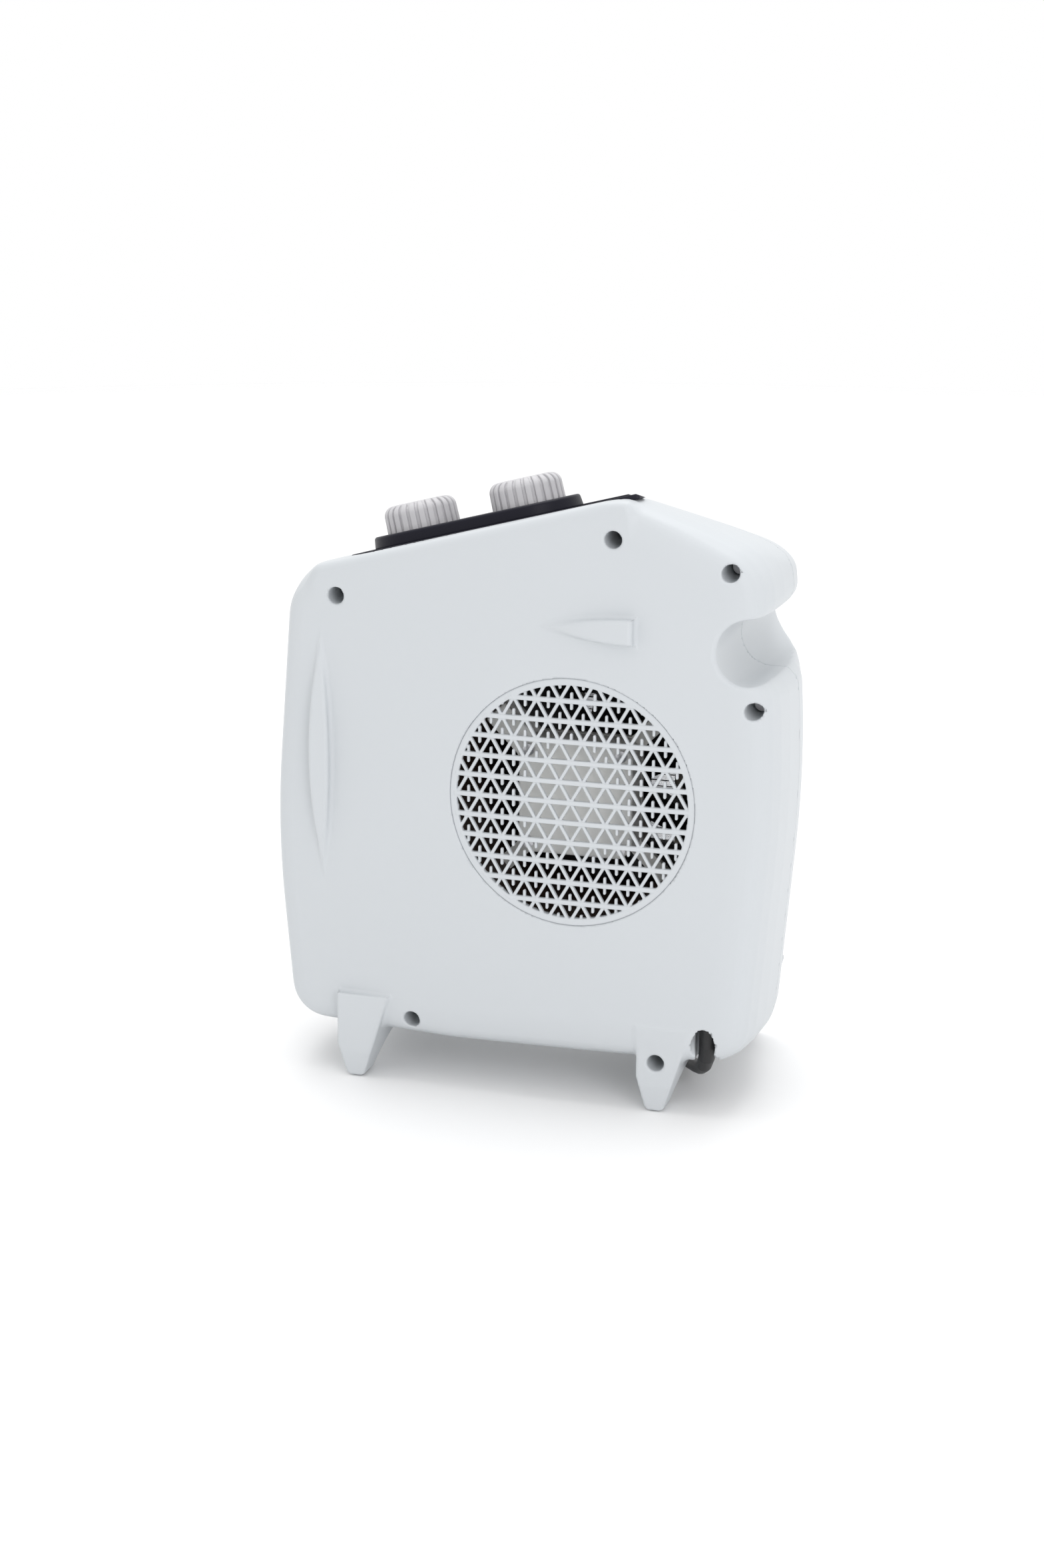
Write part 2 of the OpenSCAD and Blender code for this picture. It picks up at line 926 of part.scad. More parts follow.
stone_w = 4;
banks = 4;
bank_w = (ptc_side - (banks + 1)*stone_w)/banks;

// upright bars that hold the ceramic heating stones
module ptc_stones() {
    color(cream)
        at_fan(ptc_d, ptc_d + ptc_t)
            for (k = [0:banks])
                translate([-ptc_side/2 + k*(bank_w + stone_w), -ptc_side/2])
                    square([stone_w, ptc_side]);
}

// thin aluminium fins between the bars
module ptc_fins() {
    fin_pitch = 2.8;
    count = floor((ptc_side - 2)/fin_pitch);
    color(metal)
        at_fan(ptc_d + 0.5, ptc_d + ptc_t - 0.5)
            for (k = [0:banks - 1])
                translate([-ptc_side/2 + stone_w + k*(bank_w + stone_w), -ptc_side/2]) {
                    for (j = [0:count])
                        translate([0, 1 + j*fin_pitch])
                            square([bank_w, 0.5]);
                    for (x = [0, bank_w - 0.5])
                        translate([x, 0])
                            square([0.5, ptc_side]);
                }
}

module ptc_terminals() {
    color(brass)
        for (x = [-1, 0, 1])
            translate([-fan_u + x*14, back_y - ptc_d - 1, fan_h - ptc_side/2 - 10])
                translate([-3, -0.8, 0])
                    cube([6, 0.8, 8]);
}

// bimetal cut-out on the frame above the element
module thermal_cutout() {
    color(black)
        difference() {
            union() {
                at_fan(ptc_d - 7, ptc_d - 2)
                    translate([0, ptc_side/2 + 8])
                        circle(r = 7.5);
                at_fan(ptc_d - 3, ptc_d - 2)
                    translate([0, ptc_side/2 + 8])
                        square([24, 9], center = true);
            }
            at_fan(ptc_d - 10, ptc_d - 1)
                for (x = [-10, 10])
                    translate([x, ptc_side/2 + 8])
                        circle(r = 1);
        }
}

// ---- tilt switch, wiring and fasteners --------------------------------------

pivot_z = 30;
pin_r = 1.5;

module tilt_bracket() {
    color(black)
        translate(tilt_at)
            difference() {
                union() {
                    translate([-14, -9, 0])
                        cube([28, 18, 2]);
                    for (y = [-9, 6.5])
                        translate([-5, y, 0])
                            cube([10, 2.5, pivot_z + 5]);
                }
                translate([0, 0, pivot_z])
                    rotate([90, 0, 0])
                        cylinder(r = pin_r, h = 40, center = true);
            }
}

module tilt_pin() {
    color(metal)
        translate(tilt_at + [0, 0, pivot_z])
            rotate([90, 0, 0])
                cylinder(r = pin_r, h = 18, center = true);
}

module tilt_pendulum() {
    color(metal)
        translate(tilt_at + [0, 0, pivot_z])
            difference() {
                union() {
                    rotate([90, 0, 0])
                        cylinder(r = 4, h = 6, center = true);
                    translate([-1.5, -2, -16])
                        cube([3, 4, 16]);
                    translate([0, 0, -20])
                        rotate([90, 0, 0])
                            cylinder(r = 6, h = 10, center = true);
                }
                rotate([90, 0, 0])
                    cylinder(r = pin_r + fit, h = 20, center = true);
            }
}

module terminal_block() {
    color(cream)
        translate(terminal_at)
            difference() {
                cube([30, 14, 12]);
                for (k = [0:2])
                    translate([6 + 9*k, 7, 3])
                        cylinder(r = 2.4, h = 20);
            }
}

module case_screws() {
    color(metal) {
        back_view(recess_floor - 2.6, recess_floor)
            at_spots(screw_spots)
                circle(r = recess_d/2 - 0.5);
        back_view(recess_floor - 0.1, seam_d + 18)
            at_spots(screw_spots)
                circle(r = screw_r - 0.4);
    }
}

module cord_gland() {
    color(black)
        in_gland()
            difference() {
                translate([0, 0, -3])
                    cylinder(r = gland_r, h = gland_len);
                translate([0, 0, -4])
                    cylinder(r = cord_r, h = gland_len + 2);
            }
}

module cord_clamp() {
    color(cream)
        in_gland()
            difference() {
                translate([-clamp_x, -clamp_y, gland_len - 3])
                    cube([2*clamp_x, 2*clamp_y, 6]);
                translate([0, 0, gland_len - 4])
                    cylinder(r = cord_r, h = 8);
            }
}

module cord_tube() {
    color(black)
        swept(cord_points, cord_r, 10);
}

module cord_tail() {
    color(black)
        swept(tail_points, cord_r, 10);
}

module cord_coil() {
    color(black)
        translate(coil_at)
            rotate_extrude($fn = 64) {
                for (row = [0, 1])
                    for (k = [-1:1])
                        translate([coil_r + k*coil_gap, coil_z + row*coil_gap])
                            circle(r = cord_r);
                translate([coil_r - coil_gap, coil_z - 1])
                    square([2*coil_gap, coil_gap + 2]);
            }
}

plug_at = [85, -126, 13.5];
module plug_body() {
    color(black)
        translate(plug_at)
            rotate([-90, 0, 0]) {
                translate([0, 0, -2])
                    cylinder(r1 = 5, r2 = 8, h = 16);
                translate([0, 0, 14])
                    cylinder(r1 = 9, r2 = 13, h = 8);
                translate([0, 0, 22])
                    cylinder(r = 13, h = 12);
            }
}

module plug_pins() {
    color(metal)
        translate(plug_at)
            rotate([-90, 0, 0])
                for (x = [-9.5, 9.5])
                    translate([x, 0, 34])
                        cylinder(r = 2.4, h = 18);
}

rear_shell();
front_shell();
intake_grille();
outlet_grille();
top_panel();
control_plate();
thermostat_knob();
selector_knob();
thermostat_body();
thermostat_shaft();
thermostat_nut();
selector_body();
selector_shaft();
selector_nut();
air_duct();
motor_cover();
motor_bracket();
motor_body();
motor_shaft();
fan_impeller();
ptc_frame();
ptc_fins();
ptc_stones();
ptc_terminals();
thermal_cutout();
tilt_bracket();
tilt_pin();
tilt_pendulum();
terminal_block();
case_screws();
bracket_screws();
cord_gland();
cord_clamp();
cord_tube();
cord_coil();
cord_tail();
plug_body();
plug_pins();
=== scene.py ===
# Looks of the ceramic fan heater: shells, grille, controls and cord over the CAD frame.
import json
from math import ceil, cos, pi, radians, sin, sqrt

import bpy
import numpy as np
from mathutils import Matrix, Vector


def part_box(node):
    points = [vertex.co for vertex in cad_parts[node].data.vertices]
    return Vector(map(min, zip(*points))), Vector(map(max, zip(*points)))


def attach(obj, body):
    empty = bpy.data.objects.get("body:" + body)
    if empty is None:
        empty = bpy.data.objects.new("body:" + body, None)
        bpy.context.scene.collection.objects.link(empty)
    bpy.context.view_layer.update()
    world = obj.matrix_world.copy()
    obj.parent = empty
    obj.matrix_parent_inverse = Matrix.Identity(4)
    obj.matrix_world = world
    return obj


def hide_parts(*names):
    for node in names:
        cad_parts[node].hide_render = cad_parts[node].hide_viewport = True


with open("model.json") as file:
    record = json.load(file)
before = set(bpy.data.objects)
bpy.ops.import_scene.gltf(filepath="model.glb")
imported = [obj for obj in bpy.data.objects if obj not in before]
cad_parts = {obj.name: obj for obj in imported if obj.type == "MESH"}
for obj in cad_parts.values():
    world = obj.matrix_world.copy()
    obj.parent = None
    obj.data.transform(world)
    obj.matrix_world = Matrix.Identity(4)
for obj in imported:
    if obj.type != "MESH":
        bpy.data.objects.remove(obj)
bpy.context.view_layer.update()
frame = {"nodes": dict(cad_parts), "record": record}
MM = 0.001

# ---- places taken from the frame, and driving sizes, in mm ----------------------


def box_mm(node):
    low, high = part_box(node)
    return np.array(low)/MM, np.array(high)/MM


RIM_LOW, RIM_HIGH = box_mm("intake_grille")
CASE_LOW, CASE_HIGH = box_mm("rear_shell")
FRONT_LOW, FRONT_HIGH = box_mm("front_shell")
LEDGE_OUT = 5
BACK_Y = CASE_HIGH[1] - LEDGE_OUT
FRONT_Y = FRONT_LOW[1]
DEPTH = BACK_Y - FRONT_Y
SEAM_Y = CASE_LOW[1]
HALF_W = 118.5
HIGH = 275.0
LEG_H = 18.0
FAN_U = -(RIM_LOW[0] + RIM_HIGH[0])/2
FAN_Z = (RIM_LOW[2] + RIM_HIGH[2])/2
RIM_R = (RIM_HIGH[0] - RIM_LOW[0])/2
FAN = Vector((-FAN_U, BACK_Y, FAN_Z))*MM

# ---- camera --------------------------------------------------------------------


AZIMUTH, ELEVATION, ROLL = radians(17.6), radians(15.08), radians(0.22)
LENS, SENSOR_HIGH = 64.18, 36
CAMERA_AT = Vector((-0.362, 1.1804, 0.4635))
FAR_CLIP = 20


def add_camera():
    """The camera stands behind the heater, to its grip side and above it."""
    forward = Vector((sin(AZIMUTH)*cos(ELEVATION), -cos(AZIMUTH)*cos(ELEVATION), -sin(ELEVATION)))
    level = Vector((-cos(AZIMUTH), -sin(AZIMUTH), 0))
    above = level.cross(forward)
    right = cos(ROLL)*level + sin(ROLL)*above
    up = cos(ROLL)*above - sin(ROLL)*level
    cam = bpy.data.objects.new("camera", bpy.data.cameras.new("camera"))
    bpy.context.scene.collection.objects.link(cam)
    cam.data.sensor_fit = "VERTICAL"
    cam.data.sensor_height = SENSOR_HIGH
    cam.data.lens = LENS
    cam.data.clip_end = FAR_CLIP
    basis = Matrix((right, up, -forward)).transposed().to_4x4()
    basis.translation = CAMERA_AT
    cam.matrix_world = basis
    bpy.context.scene.camera = cam


add_camera()

# ---- materials -----------------------------------------------------------------


MOTTLE_SCALE, MOTTLE_DETAIL, GRAIN_DETAIL = 14, 3, 4
GRAIN_HEIGHT = 0.0002


def new_material(name, color, rough, bump, scale, mottle=0.03, rough_span=0.06, **sockets):
    """A moulded or rolled surface: fine bump, and slow changes of tone and gloss."""
    mat = bpy.data.materials.new(name)
    mat.use_nodes = True
    nodes, links = mat.node_tree.nodes, mat.node_tree.links
    shader = nodes["Principled BSDF"]
    place = nodes.new("ShaderNodeTexCoord").outputs["Object"]
    slow = nodes.new("ShaderNodeTexNoise")
    slow.inputs["Scale"].default_value = MOTTLE_SCALE
    slow.inputs["Detail"].default_value = MOTTLE_DETAIL
    links.new(place, slow.inputs["Vector"])
    tone = nodes.new("ShaderNodeMapRange")
    tone.inputs["To Min"].default_value = 1 - mottle
    tone.inputs["To Max"].default_value = 1 + mottle
    links.new(slow.outputs["Fac"], tone.inputs["Value"])
    mix = nodes.new("ShaderNodeVectorMath")
    mix.operation = "MULTIPLY"
    mix.inputs[0].default_value = color
    links.new(tone.outputs["Result"], mix.inputs[1])
    links.new(mix.outputs["Vector"], shader.inputs["Base Color"])
    gloss = nodes.new("ShaderNodeMapRange")
    gloss.inputs["To Min"].default_value = rough - rough_span
    gloss.inputs["To Max"].default_value = rough + rough_span
    grain = nodes.new("ShaderNodeTexNoise")
    grain.inputs["Scale"].default_value = scale
    grain.inputs["Detail"].default_value = GRAIN_DETAIL
    links.new(place, grain.inputs["Vector"])
    links.new(grain.outputs["Fac"], gloss.inputs["Value"])
    links.new(gloss.outputs["Result"], shader.inputs["Roughness"])
    height = nodes.new("ShaderNodeBump")
    height.inputs["Strength"].default_value = bump
    height.inputs["Distance"].default_value = GRAIN_HEIGHT
    links.new(grain.outputs["Fac"], height.inputs["Height"])
    links.new(height.outputs["Normal"], shader.inputs["Normal"])
    for socket, value in sockets.items():
        shader.inputs[socket.replace("_", " ")].default_value = value
    return mat


MATERIALS = {
    "case_white": new_material("case_white", (0.55, 0.575, 0.595), 0.38, 0.05, 2400, 0.008, 0.03,
                               Specular_IOR_Level=0.2),
    "inner_white": new_material("inner_white", (0.78, 0.78, 0.76), 0.45, 0.10, 1800, 0.02),
    "outlet_black": new_material("outlet_black", (0.018, 0.018, 0.02), 0.42, 0.25, 1800),
    "panel_black": new_material("panel_black", (0.010, 0.010, 0.018), 0.5, 0.25, 1600,
                                Specular_IOR_Level=0.25),
    "plate_black": new_material("plate_black", (0.006, 0.006, 0.014), 0.42, 0.3, 1500,
                                Specular_IOR_Level=0.22),
    "knob_grey": new_material("knob_grey", (0.52, 0.515, 0.53), 0.45, 0.12, 1800, 0.015,
                               Specular_IOR_Level=0.3),
    "ceramic_cream": new_material("ceramic_cream", (0.70, 0.66, 0.58), 0.7, 0.4, 900),
    "plain_steel": new_material("plain_steel", (0.56, 0.56, 0.58), 0.32, 0.2, 1500, 0.05,
                                Metallic=1.0),
    "inner_black": new_material("inner_black", (0.016, 0.015, 0.015), 0.45, 0.2, 1500),
    "duct_brown": new_material("duct_brown", (0.05, 0.028, 0.018), 0.5, 0.2, 1200, 0.08),
    "fin_aluminium": new_material("fin_aluminium", (0.84, 0.85, 0.87), 0.22, 0.2, 1500, 0.04,
                                  Metallic=1.0),
    "brass": new_material("brass", (0.80, 0.60, 0.27), 0.28, 0.15, 1500, 0.04, Metallic=1.0),
    "cord_black": new_material("cord_black", (0.012, 0.012, 0.013), 0.48, 0.25, 1600),
}
SLOTS = {part["node"]: part["material_slot"] for part in frame["record"]["subparts"]}


def finish_as(obj, name):
    obj.data.materials.clear()
    obj.data.materials.append(MATERIALS[name])


for node, slot in SLOTS.items():
    finish_as(frame["nodes"][node], slot)


def add_piece(name, data, body, slot, *replaced):
    """Links a new piece, and says what it rides on, replaces and is finished in."""
    obj = bpy.data.objects.new(name, data)
    bpy.context.scene.collection.objects.link(obj)
    finish_as(obj, slot)
    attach(obj, body)
    if replaced:
        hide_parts(*replaced)
    return obj


# ---- cord ----------------------------------------------------------------------

CORD_D = 6.2
CORD_START = [-89.5, 47.3, 39.4]
LEAD = [[-89, 46.2, 31.1], [-87.7, 43, 23.9], [-85.5, 38.1, 18.3], [-82.6, 31.8, 14.4],
        [-79.3, 24.8, 11.8], [-75.5, 16.8, 9.5], [-71, 7.5, 7.1], [-66, -2.5, 5.2],
        [-59.8, -13, 4], [-53, -24, 3.5], [-45.5, -35.5, 3.5], [-37, -47, 3.5],
        [-27.5, -58.5, 3.5], [-18, -70.5, 3.5], [-9, -84, 3.5], [-1, -101, 3.5],
        [4.5, -120, 3.5], [8, -140, 3.5], [9.3, -153, 3.5]]
TAIL = [[90, -162, 9.8], [89.5, -155.5, 10.3], [88.5, -149, 11.1], [87.2, -143, 12],
        [86.1, -137.8, 12.85], [85.3, -133.5, 13.35], [85, -130.5, 13.5], [85, -128, 13.5]]
COIL = [50, -165]
COIL_R, COIL_GAP, COIL_Z = 34, 6.25, 3.5
TURN_STEPS, COIL_TURNS = 24, 6
CROSS_FROM, CROSS_OVER = 0.62, 0.34


def smooth(t):
    c = np.clip(t, 0, 1)
    return c*c*(3 - 2*c)


def coil_points():
    """Three turns inwards on the floor, a climb, and three turns outwards on top of them.

    Rows says which row each turn starts in, and moves its step to the next: -1 is inwards.
    """
    rows, moves = [1, 0, -1, -1, 0, 1, 1], [-1, -1, 0, 1, 1, 0, 0]
    points = []
    for step in range(COIL_TURNS*TURN_STEPS + 1):
        turn, share = divmod(step, TURN_STEPS)
        late = float(smooth((share/TURN_STEPS - CROSS_FROM)/CROSS_OVER))
        climb = late if turn == 2 else (1.0 if turn > 2 else 0.0)
        radius = COIL_R + COIL_GAP*(rows[turn] + moves[turn]*late)
        angle = pi + 2*pi*step/TURN_STEPS
        points.append([COIL[0] + radius*cos(angle), COIL[1] + radius*sin(angle),
                       COIL_Z + COIL_GAP*climb])
    radius = COIL_R + COIL_GAP
    for k in range(1, TURN_STEPS//2):
        angle = 2*pi*k/TURN_STEPS + pi
        points.append([COIL[0] + radius*cos(angle), COIL[1] + radius*sin(angle),
                       COIL_Z + COIL_GAP])
    return points


def add_curve(name, points, radius, body, slot, *replaced):
    """A round lead along points in mm, as one smooth open spline."""
    data = bpy.data.curves.new(name, "CURVE")
    data.dimensions = "3D"
    data.bevel_depth = radius*MM
    data.bevel_resolution = 5
    data.resolution_u = 6
    data.use_fill_caps = True
    line = data.splines.new("BEZIER")
    line.bezier_points.add(len(points) - 1)
    for knot, place in zip(line.bezier_points, points):
        knot.co = Vector(place)*MM
        knot.handle_left_type = knot.handle_right_type = "AUTO"
    return add_piece(name, data, body, slot, *replaced)


def add_cord():
    leaves_coil = [COIL[0] + COIL_R + COIL_GAP, COIL[1], COIL_Z + COIL_GAP]
    points = [CORD_START] + LEAD + coil_points() + [leaves_coil] + TAIL
    return add_curve("mains_cord", points, CORD_D/2, "case", "cord_black",
                     "cord_tube", "cord_coil", "cord_tail")


CORD = add_cord()

# ---- shapes as distance functions, in mm -----------------------------------------


def rounded_max(a, b, r):
    """Keeps what is in both shapes, with an outer edge of radius r."""
    return np.minimum(np.maximum(a, b), -r) + np.hypot(np.maximum(a + r, 0), np.maximum(b + r, 0))


def rounded_min(a, b, r):
    """Joins two shapes with a fillet of radius r."""
    return -rounded_max(-a, -b, r)


def polygon_distance(x, y, corners):
    best = np.full(x.shape, 1e9, dtype=np.float32)
    inside = np.zeros(x.shape, bool)
    for (ax, ay), (bx, by) in zip(corners, corners[1:] + corners[:1]):
        ex, ey = bx - ax, by - ay
        px, py = x - ax, y - ay
        t = np.clip((px*ex + py*ey)/(ex*ex + ey*ey), 0, 1)
        best = np.minimum(best, (px - t*ex)**2 + (py - t*ey)**2)
        if ey:
            inside ^= ((ay > y) != (by > y)) & (px < py*ex/ey)
    return np.where(inside, -1, 1)*np.sqrt(best)


def box_distance(x, y, half_x, half_y, r):
    dx, dy = np.abs(x) - half_x + r, np.abs(y) - half_y + r
    return np.minimum(np.maximum(dx, dy), 0) + np.hypot(np.maximum(dx, 0), np.maximum(dy, 0)) - r


def gradient(shape, p, h=0.05):
    g = np.empty_like(p)
    for k in range(3):
        step = np.zeros(3, np.float32)
        step[k] = h
        g[:, k] = (shape(p + step) - shape(p - step))/(2*h)
    return g


BLOCK = 6
BATCH = 400000


def field_of(shape, low, count, step):
    """Samples of shape on a grid: exact near its surface, and only a sign elsewhere."""
    blocks = [int(ceil(n/BLOCK)) for n in count]
    mids = [low[k] + step*BLOCK*(np.arange(blocks[k]) + 0.5) - step/2 for k in range(3)]
    coarse = np.stack(np.meshgrid(*mids, indexing="ij"), -1).reshape(-1, 3).astype(np.float32)
    value = shape(coarse)
    near = np.abs(value) < 1.6*0.87*BLOCK*step + 1
    spread = value.reshape(blocks)
    near = near.reshape(blocks)
    for k in range(3):
        spread = np.repeat(spread, BLOCK, axis=k)
        near = np.repeat(near, BLOCK, axis=k)
    cut = tuple(slice(0, n) for n in count)
    field, near = spread[cut].copy(), near[cut]
    places = np.argwhere(near)
    for part in np.array_split(np.arange(len(places)), max(1, len(places)//BATCH)):
        at = places[part]
        field[at[:, 0], at[:, 1], at[:, 2]] = shape((low + step*at).astype(np.float32))
    return field


def surface(shape, low, high, step):
    """Quads on the zero surface of shape, with points and normals taken from shape itself."""
    low = np.array(low, float)
    count = [int(n) for n in np.ceil((np.array(high) - low)/step) + 1]
    inside = field_of(shape, low, count, step) < 0
    n = [c - 1 for c in count]
    total = np.zeros(n, np.uint8)
    for i in (0, 1):
        for j in (0, 1):
            for k in (0, 1):
                total += inside[i:i + n[0], j:j + n[1], k:k + n[2]]
    cell = (total > 0) & (total < 8)
    ids = np.full(n, -1, np.int32)
    ids[cell] = np.arange(cell.sum())
    points = (low + step*(np.argwhere(cell) + 0.5)).astype(np.float32)
    for _ in range(4):
        g = gradient(shape, points)
        move = shape(points)/np.maximum((g*g).sum(1), 0.05)
        points -= g*np.clip(move, -0.6*step, 0.6*step)[:, None]
    faces = []
    for axis in range(3):
        a, b = (axis + 1) % 3, (axis + 2) % 3
        first = np.take(inside, range(count[axis] - 1), axis)
        second = np.take(inside, range(1, count[axis]), axis)
        at = np.argwhere(first != second)
        at = at[(at[:, a] > 0) & (at[:, b] > 0) & (at[:, a] < n[a]) & (at[:, b] < n[b])]
        quad = []
        for da, db in ((-1, -1), (0, -1), (0, 0), (-1, 0)):
            q = at.copy()
            q[:, a] += da
            q[:, b] += db
            quad.append(ids[q[:, 0], q[:, 1], q[:, 2]])
        quad = np.stack(quad, 1)
        outward = first[at[:, 0], at[:, 1], at[:, 2]]
        quad[~outward] = quad[~outward][:, ::-1]
        faces.append(quad)
    g = gradient(shape, points, 0.1)
    return points, np.concatenate(faces), g/np.maximum(np.linalg.norm(g, axis=1), 1e-6)[:, None]


def mesh_of(name, points, faces, normals):
    mesh = bpy.data.meshes.new(name)
    mesh.vertices.add(len(points))
    mesh.vertices.foreach_set("co", (points*MM).astype(np.float32).ravel())
    mesh.loops.add(faces.size)
    mesh.loops.foreach_set("vertex_index", faces.astype(np.int32).ravel())
    mesh.polygons.add(len(faces))
    mesh.polygons.foreach_set("loop_start", np.arange(0, faces.size, 4, dtype=np.int32))
    mesh.update(calc_edges=True)
    mesh.validate()
    mesh.shade_smooth()
    mesh.normals_split_custom_set_from_vertices(normals)
    return mesh


def add_shape(name, shape, low, high, step, body, slot, *replaced):
    mesh = mesh_of(name, *surface(shape, low, high, step))
    return add_piece(name, mesh, body, slot, *replaced)


# ---- the case --------------------------------------------------------------------

RIDGE_U = HALF_W - 63.5
CROWN_R = 1100
TOP_AT = np.array([84 - RIDGE_U, BACK_Y - 45, HIGH - 25.2])
TILT_SIDE, TILT_FRONT = 14.7, 4.8
CORNERS = [(-HALF_W + 7, LEG_H + 2, 20), (-30, LEG_H - 0.5, 160), (HALF_W - 10, LEG_H + 2, 22),
           (HALF_W + 1.2, 150, 500), (HALF_W - 6.5, HIGH - 25, 26), (RIDGE_U, HIGH + 1.5, 14),
           (-HALF_W + 8.5, HIGH - 43, 28), (-HALF_W - 1.2, 112, 420)]
SEAM_D = BACK_Y - SEAM_Y
LAYERS = [(-4, 26), (0, 14), (1.6, 10), (4.5, 6.5), (10, 3.6), (19, 1.6), (32, 0.5), (SEAM_D, 0),
          (SEAM_D + 14, 1.5), (SEAM_D + 30, 6), (DEPTH - 25, 11), (DEPTH - 12, 16),
          (DEPTH - 4, 21), (DEPTH, 27), (DEPTH + 4, 36)]
MIDDLE = (0.0, 145.0)
TURNS = 1440
TOP_AXES = np.array((Matrix.Rotation(radians(TILT_SIDE), 3, "Y")
                     @ Matrix.Rotation(radians(TILT_FRONT), 3, "X"))).astype(np.float32)


SHOULDER_AT = np.array([-RIDGE_U, BACK_Y - 4, HIGH + 0.5], np.float32)
SHOULDER_FRONT, SHOULDER_SIDE = 13.6, 14
SHOULDER_UP = np.array((Matrix.Rotation(radians(-SHOULDER_SIDE), 3, "Y")
                        @ Matrix.Rotation(radians(SHOULDER_FRONT), 3, "X")).col[2], np.float32)


def outline(inset):
    """The rounded outline of the case in back view, as dense points."""
    points = []
    for i, (u, z, radius) in enumerate(CORNERS):
        p = np.array([u, z])
        q, s = (np.array(CORNERS[(i + d) % len(CORNERS)][:2]) for d in (-1, 1))
        v1, v2 = (q - p)/np.linalg.norm(q - p), (s - p)/np.linalg.norm(s - p)
        half = np.arccos(v1 @ v2)/2
        mid = p + (v1 + v2)/np.linalg.norm(v1 + v2)*radius/sin(half)
        start = np.arctan2(v1[0], -v1[1])
        a = start + (pi - 2*half)*np.linspace(0, 1, 60)
        facing = np.degrees(a) % 360
        share = 0.15 + 0.85*smooth(np.abs(facing - 90 - TILT_SIDE)/30)
        r = np.maximum(0.3, radius - inset*share)
        points.append(mid + r[:, None]*np.stack([np.cos(a), np.sin(a)], 1))
    points = np.concatenate(points)
    ahead = np.roll(points, -1, axis=0)
    t = np.linspace(0, 1, 40, endpoint=False)[None, :, None]
    return (points[:, None] + t*(ahead - points)[:, None]).reshape(-1, 2)


def radius_table():
    """Radius of the case about its middle, for each depth and direction."""
    depths = np.arange(0, DEPTH + 1.0)
    fine = np.arange(-4, DEPTH + 4.01, 0.25)
    inset = np.interp(fine, *zip(*LAYERS))
    width = 9
    padded = np.pad(inset, width//2, mode="edge")
    inset = np.convolve(padded, np.ones(width)/width, mode="valid")
    turns = 2*pi*np.arange(TURNS)/TURNS - pi
    table = np.empty((len(depths), TURNS), np.float32)
    for row, depth in enumerate(depths):
        p = outline(np.interp(depth, fine, inset)) - MIDDLE
        turn = np.arctan2(p[:, 1], p[:, 0])
        order = np.argsort(turn)
        table[row] = np.interp(turns, turn[order], np.hypot(p[:, 0], p[:, 1])[order],
                               period=2*pi)
    wide = np.concatenate([table[:, -4:], table, table[:, :4]], 1)
    table = sum(wide[:, k:k + TURNS] for k in range(9))/9
    return table


RADII = radius_table()
SLOPE_D = np.gradient(RADII, axis=0)
SLOPE_T = (np.roll(RADII, -1, 1) - np.roll(RADII, 1, 1))/(2*2*pi/TURNS)/RADII
FLATNESS = 1/np.sqrt(1 + SLOPE_D**2 + SLOPE_T**2)


def look_up(table, row, column):
    r0 = np.clip(row.astype(int), 0, len(table) - 2)
    c0 = np.floor(column).astype(int)
    fr, fc = np.clip(row - r0, 0, 1), column - c0
    c1 = (c0 + 1) % TURNS
    c0 = c0 % TURNS
    near = table[r0, c0]*(1 - fc) + table[r0, c1]*fc
    far = table[r0 + 1, c0]*(1 - fc) + table[r0 + 1, c1]*fc
    return near*(1 - fr) + far*fr


def on_top(p):
    return (p - TOP_AT.astype(np.float32)) @ TOP_AXES


def crown(u):
    return CROWN_R - np.sqrt(np.maximum(CROWN_R**2 - (u - FAN_U)**2, 1))


def case_body(p):
    u, z, d = -p[:, 0], p[:, 2], BACK_Y - p[:, 1]
    bow = crown(u)
    row = np.clip(d - 0.7*bow*np.clip(1 - d/SEAM_D, 0, 1), 0, DEPTH)
    du, dz = u - MIDDLE[0], z - MIDDLE[1]
    column = (np.arctan2(dz, du) + pi)*TURNS/(2*pi)
    side = (np.hypot(du, dz) - look_up(RADII, row, column))*look_up(FLATNESS, row, column)
    f = rounded_max(side, bow - d, 3)
    f = rounded_max(f, d - DEPTH, 3)
    f = rounded_max(f, (p - SHOULDER_AT) @ SHOULDER_UP, 9)
    return rounded_max(f, on_top(p)[:, 2], 0.9)


GRIP_AT = (HALF_W - 13.5, HIGH - 65)
GRIP_R = 14.5
SCREWS = [(-HALF_W + 36, HIGH - 52), (RIDGE_U - 9.5, HIGH - 19), (HALF_W - 22.5, HIGH - 31),
          (HALF_W - 11.5, HIGH - 90), (-HALF_W + 71, LEG_H + 12), (HALF_W - 51, LEG_H + 5)]
RECESS_R, RECESS_FLOOR = 3.8, 24
GLAND_AT = np.array([-HALF_W + 29, BACK_Y - 10.2, 42])
HOLE_TILT, GLAND_R = radians(30), 5.4
SLOT_W, SLOT_RUN = 10.4, 12
LEG_VIEW = [(-12.5, 40), (-12.5, 16), (-8.5, 1.5), (-7, 0), (-1.5, 0), (0, 1), (5, 16), (12.5, 40)]


REAR_LEGS = (-HALF_W + 48, HALF_W - 47.5)
FRONT_LEGS = (-HALF_W + 36, HALF_W - 31)
LEG_BLEND = 2.5
SPACER_LONG, SPACER_WIDE, SPACER_OUT = 108, 9.5, 5
SEAM_GAP, SEAM_EDGE = 0.12, 0.35
LEDGE_LONG, LEDGE_WIDE = 84, 11.5


